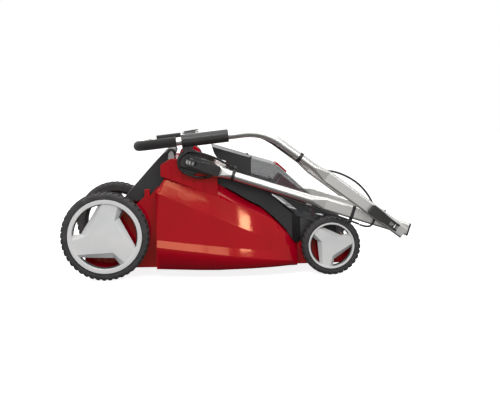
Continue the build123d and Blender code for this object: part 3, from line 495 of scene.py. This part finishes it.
# one curved block, laid on the shoulder, then raised from it; it fades out towards the sidewall
def addTreadBlock(shape, wheel, shoulder, turn, place, centre, middle):
    grid = bmesh.ops.create_grid(shape, x_segments=tyre["blockCuts"], y_segments=1, size=1)
    for vert in grid["verts"]:
        along = (vert.co.x + 1) / 2
        sideways, radius = carcass(wheel, tyre["blockFrom"] + tyre["blockSpan"] * along)
        lean = tyre["lean"] * (along - tyre["curl"] * along * along)
        width = tyre["blockWide"] * (tyre["narrow"] + tyre["flare"] * along) * vert.co.y / 2
        vert.co = place(shoulder * sideways, radius - tyre["sunk"], turn + (lean + width) / radius)
    faces = list({face for vert in grid["verts"] for face in vert.link_faces})
    grown = bmesh.ops.extrude_face_region(shape, geom=faces)["geom"]
    for vert in (item for item in grown if isinstance(item, bmesh.types.BMVert)):
        spoke = vert.co - centre
        level = abs(spoke.y / mm) - middle
        spoke.y = 0
        lift = spoke.normalized() * (tyre["tread"] + tyre["proud"]) * mm
        slide = max(0, abs(level) / (wheel["width"] / 2) - tyre["fadeFrom"]) / tyre["fadeSpan"]
        vert.co += lift * (1 - tyre["fade"] * min(1, slide) ** 2)


for end in wheels:
    for hand, handName in ((1, "right"), (-1, "left")):
        makeTyre(end, hand, f"{end}_{handName}_tyre")
print("tyres are moulded")

# deck: the moulded red shell, its creases running forwards and down
deck = {
    "creases": ((90, 42, 0), (110, 66, 7), (245, 74, 12), (274, 113, 25), (305, 130, 32)),
    "stations": (143, 318, 349, 408, 440, 480, 514, 545),
    "halfWidths": (214, 230, 230, 226, 221, 211, 197, 174),
    "tops": (300, 265, 246, 211, 195, 161, 126, 89),
    "bottoms": (28, 25, 26, 27, 28, 29, 30, 28),
    "shoulder": 172, "rimInset": 24, "spread": 40, "lip": 3, "gap": 6, "rearInner": 168,
    "slantFrom": (137, 235), "slantTo": (172, 290), "wall": 4, "rows": 34, "round": 3.2, "roundAngle": 7,
}


# a value along the deck, eased through the stations
def eased(values, x):
    places = deck["stations"]
    at = max(0, min(len(places) - 2, sum(place <= x for place in places) - 1))
    slopes = [(values[n + 1] - values[n]) / (places[n + 1] - places[n]) for n in range(len(places) - 1)]
    tangent = [slopes[0]] + [
        0 if slopes[n - 1] * slopes[n] <= 0 else 2 * slopes[n - 1] * slopes[n] / (slopes[n - 1] + slopes[n])
        for n in range(1, len(slopes))] + [slopes[-1]]
    run = places[at + 1] - places[at]
    t = (x - places[at]) / run
    return (values[at] * (1 + 2 * t) * (1 - t) ** 2 + run * tangent[at] * t * (1 - t) ** 2
            + values[at + 1] * t * t * (3 - 2 * t) + run * tangent[at + 1] * t * t * (t - 1))


# how far out and how high each crease is at x, from the skirt's lip up to the shoulder
def deckLine(x):
    share = (x - deck["stations"][0]) / (deck["stations"][-1] - deck["stations"][0])
    wide, top, bottom = (eased(deck[key], x) for key in ("halfWidths", "tops", "bottoms"))
    rim = min(deck["shoulder"], wide - deck["rimInset"])
    line = [(wide - deck["lip"], bottom)]
    for rank, (rearZ, frontZ, inset) in enumerate(deck["creases"]):
        z = min(rearZ + (frontZ - rearZ) * share, top - deck["gap"] * (len(deck["creases"]) - rank))
        line.append((wide - inset * min(1, (wide - rim) / deck["spread"]), z))
    return line + [(rim, top)]


def addDeckSide(shape, hand):
    first, last = deck["stations"][0], deck["stations"][-1]
    rear = deckLine(first)
    lines = [[spot(first, hand * deck["rearInner"], z) for _, z in rear]]
    for row in range(deck["rows"] + 1):
        x = first + (last - first) * row / deck["rows"]
        lines.append([spot(x, hand * out, z) for out, z in deckLine(x)])
    lines.append([spot(last, 0, z) for _, z in deckLine(last)])
    verts = [shape.verts.new(place) for place in lines[0]]
    edges = [shape.edges.new(pair) for pair in zip(verts, verts[1:])]
    for line in lines[1:]:
        grown = bmesh.ops.extrude_edge_only(shape, edges=edges)["geom"]
        edges = [item for item in grown if isinstance(item, bmesh.types.BMEdge)]
        ends = sorted({vert for edge in edges for vert in edge.verts}, key=lambda vert: vert.co.z)
        for vert, place in zip(ends, line):
            vert.co = place


def makeDeckSkin():
    shape = bmesh.new()
    for hand in (1, -1):
        addDeckSide(shape, hand)
    cutFrom, cutTo = (spot(x, 0, z) for x, z in (deck["slantFrom"], deck["slantTo"]))
    slant = (cutTo - cutFrom).normalized()
    bmesh.ops.bisect_plane(shape, geom=shape.verts[:] + shape.edges[:] + shape.faces[:], dist=0.001 * mm,
                           plane_co=cutFrom, plane_no=(-slant.z, 0, slant.x), clear_outer=True)
    skin = addPiece("deckSkin", shape, "deck", "glossRedAbs", ["deck_housing"])
    sample = skin.data.polygons[40]  # an open sheet has no outside of its own, so a side face decides
    if sample.normal.y * sample.center.y < 0:
        skin.data.flip_normals()
    rounding = skin.modifiers.new("creaseRounds", "BEVEL")
    rounding.width = deck["round"] * mm
    rounding.segments = 3
    rounding.limit_method = "ANGLE"
    rounding.angle_limit = math.radians(deck["roundAngle"])
    wall = skin.modifiers.new("mouldedWall", "SOLIDIFY")
    wall.thickness = deck["wall"] * mm
    wall.offset = -1
    skin.data.set_sharp_from_angle(angle=math.radians(180))  # no hard edges: the rounds carry the creases


makeDeckSkin()

covers = {"out": 170, "top": ((319, 291), (350, 291), (416, 281), (466, 236), (500, 202), (530, 178)),
          "foot": ((319, 262), (349, 251), (408, 216), (440, 200), (480, 166), (514, 131)),
          "from": 334, "to": 508, "step": 8.5, "thick": 1.6, "sunk": 0.5, "proud": 0.7, "margin": 9}


# the height of a broken line at x
def heightAt(points, x):
    for (x0, z0), (x1, z1) in zip(points, points[1:]):
        if x0 <= x <= x1:
            return z0 + (z1 - z0) * (x - x0) / (x1 - x0)
    return points[-1][1]


def makeCoverRibs():  # fine upright ribs on both cheeks of the motor cover
    shape = bmesh.new()
    count = int((covers["to"] - covers["from"]) / covers["step"])
    for hand in (1, -1):
        for number in range(count + 1):
            left = covers["from"] + number * covers["step"]
            right = left + covers["thick"]
            outline = [(left, heightAt(covers["foot"], left) + covers["margin"]),
                       (left, heightAt(covers["top"], left) - covers["margin"]),
                       (right, heightAt(covers["top"], right) - covers["margin"]),
                       (right, heightAt(covers["foot"], right) + covers["margin"])]
            addPlate(shape, outline, hand * (covers["out"] - covers["sunk"]),
                     hand * (covers["out"] + covers["proud"]))
    addPiece("motorCoverRibs", shape, "deck", "grainedBlackPolypropylene")


makeCoverRibs()

# the deck's flat walls: an outline in the side view, then where its two faces are
sideWalls = {
    "rear": ([(-62, 32), (-62, 61), (0, 72), (22, 96), (30, 150), (52, 196), (88, 211), (110, 232), (110, 252),
              (125, 252), (126, 234), (150, 262), (150, 28), (81, 28)], 168, 172),
    "tower": ([(157, 290), (157, 322), (186, 339), (212, 338), (241, 329), (290, 302), (318, 287), (318, 226),
               (277, 243)], 186, 198),
    "nose": ([(543, 28), (543, 89), (558, 94), (679, 111), (700, 92), (703, 45), (692, 30)], 142, 146),
}
crossWalls = {  # an outline, then how far it reaches to each side
    "nose": ([(541, 88), (541, 92), (558, 94), (679, 111), (700, 92), (703, 45), (692, 30), (688, 31),
              (699, 46), (696, 90), (677, 107), (558, 90)], 143),
    "ductSlope": ([(112, 40), (56, 216), (60, 217), (116, 41)], 169),
    "ductFront": ([(188, 116), (188, 336), (192, 336), (192, 116)], 169),
    "rearEdge": ([(-62, 32), (-62, 61), (-58, 62), (-58, 32)], 169),
    "rearFloor": ([(-60, 57), (-60, 61), (102, 76), (103, 72)], 169),
    "roof": ([(190, 116), (190, 120), (500, 120), (500, 116)], 166),
    "bridge": ([(188, 332), (188, 336), (200, 336), (318, 296), (318, 292), (199, 332)], 187),
}
towers = {  # ribFoot and ribHead: x, height there, and fall for each millimetre forwards
    "pivot": (241, 329), "boss": 34, "sides": 48, "edge": 1.2, "ribs": (187, 219, 250, 279),
    "ribFoot": (157, 286, 0.4), "ribHead": (187, 318, 0.16), "ribHalf": 1.5, "ribSunk": 1, "ribProud": 1.6,
}
fins = {"count": 8, "from": -52, "step": 19, "thick": 3, "foot": 34, "head": 56, "rise": 1.5,
        "inner": 171, "outer": 176}


def addTower(shape, hand):  # the wall that carries a handle pivot, with its boss and upright ribs
    outline, inner, outer = sideWalls["tower"]
    addPlate(shape, outline, hand * inner, hand * outer)
    addDisc(shape, *towers["pivot"], towers["boss"], hand * inner, hand * outer, towers["sides"])
    half = towers["ribHalf"]
    for rib in towers["ribs"]:
        foot, head = (z - fall * (rib - x) for x, z, fall in (towers["ribFoot"], towers["ribHead"]))
        addPlate(shape, [(rib - half, foot), (rib - half, head), (rib + half, head), (rib + half, foot)],
                 hand * (outer - towers["ribSunk"]), hand * (outer + towers["ribProud"]))


def addFins(shape, hand):  # stiffening fins on the skirt, between it and the rear wheel
    for fin in range(fins["count"]):
        x = fins["from"] + fin * fins["step"]
        head = fins["head"] + fin * fins["rise"]
        addPlate(shape, [(x, fins["foot"]), (x, head), (x + fins["thick"], head),
                         (x + fins["thick"], fins["foot"])], hand * fins["inner"], hand * fins["outer"])


def makeDeckFrame():
    shape = bmesh.new()
    for hand in (1, -1):
        outline, inner, outer = sideWalls["rear"]
        addPlate(shape, outline, hand * inner, hand * outer)
        addTower(shape, hand)
        outline, inner, outer = sideWalls["nose"]
        addPlate(shape, outline, hand * inner, hand * outer)
        addFins(shape, hand)
    for outline, half in crossWalls.values():
        addPlate(shape, outline, half, -half)
    addPiece("deckFrame", shape, "deck", "glossRedAbs", edge=towers["edge"])


makeDeckFrame()
print("deck is moulded")

# black saddles that hold the pressed ends of the lower tubes at the pivots
saddle = {"outline": ((-30, -12), (-30, 12), (-24, 20), (64, 20), (78, 14), (78, -14), (64, -20), (-24, -20)),
          "pivot": (241, 329), "hinge": (812, 145), "inner": 202.4, "outer": 215.8, "edge": 2.5}


def makeSaddles():
    shape = bmesh.new()
    (x, z), (hingeX, hingeZ) = saddle["pivot"], saddle["hinge"]
    slope = math.atan2(hingeZ - z, hingeX - x)
    run, rise = math.cos(slope), math.sin(slope)
    outline = [(x + along * run - across * rise, z + along * rise + across * run)
               for along, across in saddle["outline"]]
    for hand in (1, -1):
        addPlate(shape, outline, hand * saddle["inner"], hand * saddle["outer"])
    addPiece("pivotSaddles", shape, "lower_handle", "smoothBlackNylon", edge=saddle["edge"])


makeSaddles()

# foam grips: a long one round the right corner of the loop, a short one on the left
grip = {
    "radius": 14, "loopX": 97, "loopZ": 376, "kneeX": 448, "kneeZ": 415.2, "out": 236, "bend": 32,
    "turns": 12, "lip": 2.5, "lipSteps": (0, 0.4, 1.1, 2.5), "sides": 32, "rightFrom": 204,
    "rightMiddle": 165, "across": 52, "leftFrom": 132, "leftMiddle": 170, "leftTo": 210,
}
gripRise = (grip["kneeZ"] - grip["loopZ"]) / (grip["kneeX"] - grip["loopX"])


def gripSpot(x, out):
    return spot(x, out, grip["loopZ"] + (x - grip["loopX"]) * gripRise)


def addGrip(name, node, places):
    lengths = [0]
    for before, after in zip(places, places[1:]):
        lengths.append(lengths[-1] + (after - before).length / mm)
    radii = []
    for length in lengths:  # both ends are rounded over
        inset = max(0, grip["lip"] - min(length, lengths[-1] - length))
        radii.append((grip["radius"] - grip["lip"] + math.sqrt(grip["lip"] ** 2 - inset ** 2)) * mm)
    shape = bmesh.new()
    addRod(shape, places, radii, grip["sides"])
    piece = addPiece(name, shape, "upper_handle", "closedCellGripFoam", [node])


def makeGrips():
    lips, out, bend = grip["lipSteps"], grip["out"], grip["bend"]
    straight = [gripSpot(grip["rightFrom"] - step, out) for step in lips]
    straight.append(gripSpot(grip["rightMiddle"], out))
    corner = []
    for step in range(grip["turns"] + 1):
        turn = step / grip["turns"] * math.pi / 2
        corner.append(gripSpot(grip["loopX"] + bend - bend * math.sin(turn),
                               out - bend + bend * math.cos(turn)))
    across = [gripSpot(grip["loopX"], out - grip["across"] + step) for step in reversed(lips)]
    addGrip("foamGripRight", "foam_grip_right", straight + corner + across)
    addGrip("foamGripLeft", "foam_grip_left",
            [gripSpot(grip["leftFrom"] + step, -out) for step in lips] + [gripSpot(grip["leftMiddle"], -out)]
            + [gripSpot(grip["leftTo"] - step, -out) for step in reversed(lips)])


makeGrips()

# control cable: the same places as its solids, one smooth line for each length
cable = {
    "radius": 3, "sides": 5, "smooth": 8,
    "bends": {"cable_hinge_loop": ("upper_handle", "lower_handle"),
              "cable_pivot_loop": ("lower_handle", "deck")},
    "routes": {
        "cable_upper": ((345, 221, 400), (374, 220.5, 400.5), (410, 219, 402), (440, 218.5, 398),
                        (470, 219, 381), (497, 219.5, 363), (524, 220, 344), (556, 220.5, 324)),
        "cable_hinge_loop": ((557, 220.5, 323.4), (586, 220.7, 309), (616, 221.5, 302), (647, 222, 299),
                             (680, 222, 286), (712, 222, 266), (738, 222, 238), (756, 222, 206),
                             (762, 222, 175), (757, 221.5, 150), (742, 217, 138), (719, 209.5, 146)),
        "cable_lower": ((718, 208.5, 147.4), (672, 208.5, 166), (630, 209, 180), (580, 209.5, 199),
                        (530, 208, 217), (485, 204, 234), (450, 194, 247), (425, 188, 262), (403, 187, 281),
                        (384, 192, 295), (366, 200, 309), (352, 206.5, 318.5)),
        "cable_pivot_loop": ((351, 207, 319.2), (327, 215, 333), (300, 219.5, 346), (272, 221, 355),
                             (246, 220.5, 360), (222, 219.5, 353), (208, 219, 336), (209, 218.5, 315),
                             (224, 218, 299), (246, 216, 290), (268, 211, 286), (287, 203.8, 286),
                             (301, 195, 288)),
    },
}


def makeCable(node):
    route = [spot(*place) for place in cable["routes"][node]]
    curve = bpy.data.curves.new(camel(node), "CURVE")
    curve.dimensions = "3D"
    curve.bevel_depth = cable["radius"] * mm
    curve.bevel_resolution = cable["sides"]
    curve.use_fill_caps = True
    line = curve.splines.new("NURBS")
    line.points.add(len(route) - 1)
    for point, place in zip(line.points, route):
        point.co = (*place, 1)
    line.order_u = 3
    line.use_endpoint_u = True
    line.resolution_u = cable["smooth"]
    holder = bpy.data.objects.new(camel(node) + "Line", curve)
    bpy.context.scene.collection.objects.link(holder)
    mesh = bpy.data.meshes.new_from_object(holder.evaluated_get(bpy.context.evaluated_depsgraph_get()))
    bpy.data.objects.remove(holder)
    shape = bmesh.new()
    shape.from_mesh(mesh)
    bmesh.ops.remove_doubles(shape, verts=shape.verts, dist=finishing["merge"] * mm)
    bmesh.ops.recalc_face_normals(shape, faces=shape.faces)
    shape.to_mesh(mesh)
    shape.free()
    mesh.name = camel(node)
    mesh.shade_smooth()
    piece = bpy.data.objects.new(camel(node), mesh)
    bpy.context.scene.collection.objects.link(piece)
    paint(piece, "extrudedCablePvc")
    if node in cable["bends"]:
        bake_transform(piece)
    else:
        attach(piece, bodyOfNode[node])
    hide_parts(node)


for node in cable["routes"]:
    makeCable(node)
print("grips and cable are made")

# flap springs: wound wire on the rod, with a tail on the deck and a leg down the flap
spring = {"x": 187, "z": 353, "coil": 7.2, "wire": 1.1, "turns": 8, "from": 103, "to": 123, "perTurn": 16,
          "sides": 8, "firstAngle": math.radians(160), "tail": ((150, 324), (176, 350)), "leg": (194, 337)}


def makeSprings():
    shape = bmesh.new()
    steps = spring["turns"] * spring["perTurn"]
    for hand in (1, -1):
        places = [spot(x, hand * spring["from"], z) for x, z in spring["tail"]]
        for step in range(steps + 1):
            turn = spring["firstAngle"] - math.tau * step / spring["perTurn"]
            out = spring["from"] + (spring["to"] - spring["from"]) * step / steps
            places.append(spot(spring["x"] + spring["coil"] * math.cos(turn), hand * out,
                               spring["z"] + spring["coil"] * math.sin(turn)))
        legX, legZ = spring["leg"]
        places.append(spot(legX, hand * spring["to"], legZ))
        addRod(shape, places, [spring["wire"] * mm] * len(places), spring["sides"])
    addPiece("flapSprings", shape, "deck", "oiledSpringSteel", ["flap_springs"])


makeSprings()
print("springs are wound")
